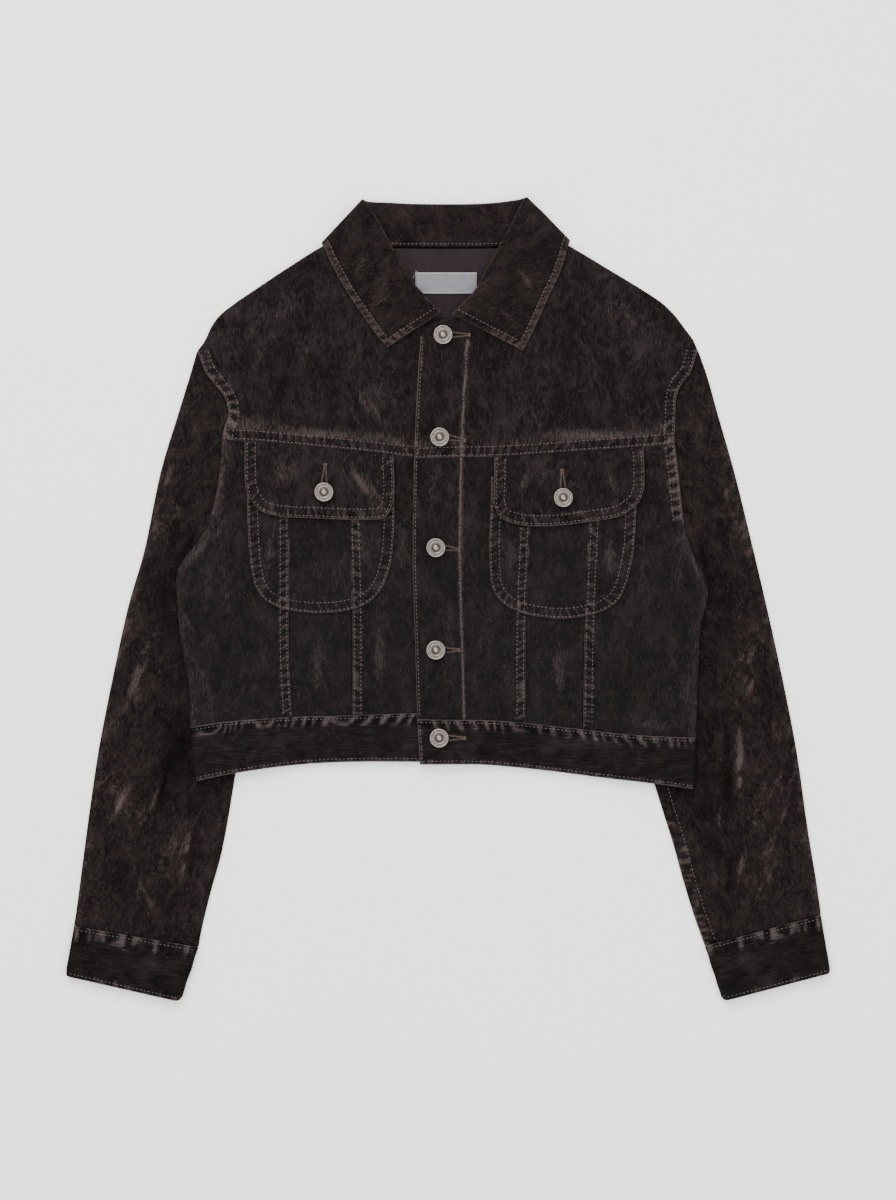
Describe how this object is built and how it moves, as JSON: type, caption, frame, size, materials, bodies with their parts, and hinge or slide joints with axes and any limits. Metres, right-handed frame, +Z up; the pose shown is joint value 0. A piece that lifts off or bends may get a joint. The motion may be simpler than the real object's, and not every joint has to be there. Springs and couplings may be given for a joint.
{
  "type": "velvet jacket",
  "caption": "Cropped button-front velvet jacket laid flat, with a turned-down collar, flapped chest pockets, lapped front seams, a waistband and cuffed sleeves.",
  "frame": {"origin": "on the surface the jacket lies on, under the middle of its back panel; the mount rest_face is there", "axes": "+X towards the wearer's left sleeve, +Y from the hem to the collar, +Z up from the surface, out of the fronts"},
  "size_m": [0.6888, 0.7242, 0.0163],
  "materials": {
    "velvet": "worn cotton velvet, near-black brown, crushed and rubbed lighter along the seams",
    "satin_lining": "dark charcoal-plum satin",
    "woven_label": "mid-grey woven tape, blank",
    "button_metal": "worn antique silver"
  },
  "bodies": {
    "root": {"back_panel": "velvet", "back_waistband": "velvet", "button_1": "button_metal", "button_2": "button_metal", "button_3": "button_metal", "button_4": "button_metal", "button_5": "button_metal", "collar": "velvet", "cuff_left": "velvet", "cuff_right": "velvet", "flap_button_left": "button_metal", "flap_button_right": "button_metal", "front_center_left": "velvet", "front_center_right": "velvet", "front_middle_left": "velvet", "front_middle_right": "velvet", "front_side_left": "velvet", "front_side_right": "velvet", "front_yoke_left": "velvet", "front_yoke_right": "velvet", "neck_label": "woven_label", "neck_lining": "satin_lining", "pocket_flap_left": "velvet", "pocket_flap_right": "velvet", "pocket_left": "velvet", "pocket_right": "velvet", "sleeve_top_left": "velvet", "sleeve_top_right": "velvet", "sleeve_under_left": "velvet", "sleeve_under_right": "velvet", "waistband_left": "velvet", "waistband_right": "velvet"}
  },
  "joints": []
}
